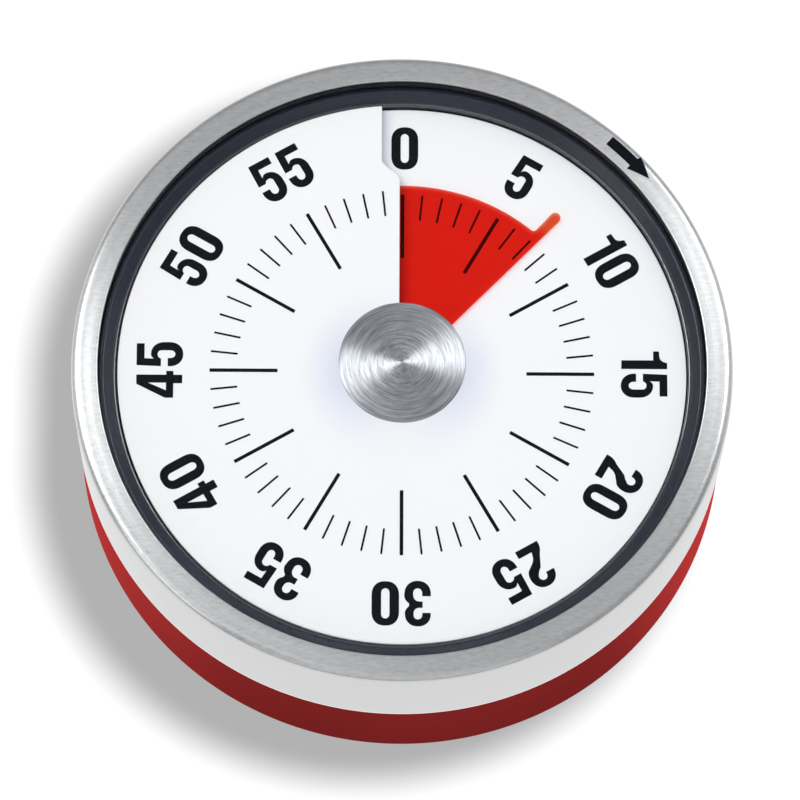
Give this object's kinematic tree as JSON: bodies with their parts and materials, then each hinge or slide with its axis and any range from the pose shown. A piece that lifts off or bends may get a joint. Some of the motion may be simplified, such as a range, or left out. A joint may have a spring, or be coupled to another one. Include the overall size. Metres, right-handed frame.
{
  "type": "visual countdown timer",
  "caption": "Round clockwork countdown timer with a turning steel ring and knob, a spiral dial and a red film that shows the minutes left.",
  "frame": {"origin": "centre of the face that the timer rests on, at the foot ring's lowest plane", "axes": "+Z out of the dial, +Y from the centre to the zero mark, +X to the 15 minute mark"},
  "size_m": [0.0798, 0.0798, 0.029],
  "materials": {
    "red_shell": "smooth moulded plastic, glossy",
    "foot_rubber": "matt rubber",
    "magnet_nickel": "nickel plated",
    "dark_screw": "blackened",
    "brass": "stamped, rolled",
    "bell_steel": "plated, drawn",
    "dark_tray": "satin moulded plastic",
    "white_dial": "satin white plastic, printed in black",
    "spring_steel": "blued",
    "cut_steel": "turned",
    "brushed_steel": "circular brushed",
    "black_liner": "matt moulded plastic",
    "clear_lens": "clear, flat",
    "spun_steel": "turned in fine rings",
    "red_film": "see-through red film",
    "red_hub": "moulded plastic"
  },
  "bodies": {
    "base": {"base_shell": "red_shell", "foot_ring": "foot_rubber", "magnets": "magnet_nickel", "base_screws": "dark_screw", "bell_post": "brass", "bell": "bell_steel", "bell_screw": "dark_screw", "back_plate": "brass", "front_plate": "brass", "pillars": "brass", "plate_screws": "dark_screw", "pivot_bushes": "brass", "dial_tray": "dark_tray", "tray_screws": "dark_screw", "dial": "white_dial", "mainspring": "spring_steel", "spring_post": "cut_steel", "hammer_spring": "spring_steel", "release_spring": "spring_steel"},
    "rotor": {"bezel_ring": "brushed_steel", "bezel_liner": "black_liner", "lens": "clear_lens", "knob_cap": "spun_steel", "knob_core": "black_liner", "knob_screw": "dark_screw", "main_arbor": "cut_steel", "arbor_clip": "spring_steel", "great_wheel": "brass", "ratchet_wheel": "cut_steel", "click_stud": "cut_steel", "click_spring": "spring_steel", "alarm_cam": "brass"},
    "film_disc": {"film": "red_film", "film_hub": "red_hub"},
    "click_pawl": {"click": "cut_steel"},
    "second_shaft": {"second_arbor": "cut_steel", "second_wheel": "brass"},
    "third_shaft": {"third_arbor": "cut_steel", "third_wheel": "brass"},
    "escape_shaft": {"escape_arbor": "cut_steel", "escape_wheel": "brass"},
    "balance": {"pallet_arbor": "cut_steel", "pallet_lever": "cut_steel", "balance_bar": "brass"},
    "hammer": {"hammer_arbor": "cut_steel", "hammer_arm": "cut_steel", "hammer_head": "cut_steel"},
    "release": {"release_arbor": "cut_steel", "release_lever": "cut_steel"}
  },
  "joints": [
    {"name": "timer_turn", "type": "hinge", "parent": "base", "child": "rotor", "pos_m": [0, 0, 0.015], "axis": [0, 0, -1], "range_deg": [-44.1, 315.9], "deforming": ["mainspring"]},
    {"name": "film_climb", "type": "slide", "parent": "rotor", "child": "film_disc", "axis": [0, 0, 1], "range_m": [-0.00019, 0.00134]},
    {"name": "second_turn", "type": "hinge", "parent": "base", "child": "second_shaft", "pos_m": [-0.01559, 0.009, 0.015], "axis": [0, 0, -1], "range_deg": [-2528.2, 353.8]},
    {"name": "third_turn", "type": "hinge", "parent": "base", "child": "third_shaft", "pos_m": [-0.01851, -0.00181, 0.015], "axis": [0, 0, -1], "range_deg": [-2117.8, 15164.2]},
    {"name": "escape_turn", "type": "hinge", "parent": "base", "child": "escape_shaft", "pos_m": [-0.01575, -0.01063, 0.015], "axis": [0, 0, -1], "range_deg": [-90980.2, 12701.8]},
    {"name": "balance_rock", "type": "hinge", "parent": "base", "child": "balance", "pos_m": [-0.01121, -0.01596, 0.015], "axis": [0, 0, 1], "range_deg": [-4, 4]},
    {"name": "hammer_swing", "type": "hinge", "parent": "base", "child": "hammer", "pos_m": [0.02188, 0.0023, 0.01], "axis": [0, 0, 1], "range_deg": [-3, 4]},
    {"name": "release_tilt", "type": "hinge", "parent": "base", "child": "release", "pos_m": [0.01286, 0.01532, 0.018], "axis": [0, 0, 1], "range_deg": [-3, 0]},
    {"name": "click_lift", "type": "hinge", "parent": "rotor", "child": "click_pawl", "pos_m": [0.00414, 0.00347, 0.014], "axis": [0, 0, 1], "range_deg": [-6, 0]}
  ],
  "couplings": [
    {"joint": "film_climb", "follows": "timer_turn", "m_per_rad": 0.00024271},
    {"joint": "second_turn", "follows": "timer_turn", "ratio": -8},
    {"joint": "third_turn", "follows": "timer_turn", "ratio": 48},
    {"joint": "escape_turn", "follows": "timer_turn", "ratio": -288}
  ]
}
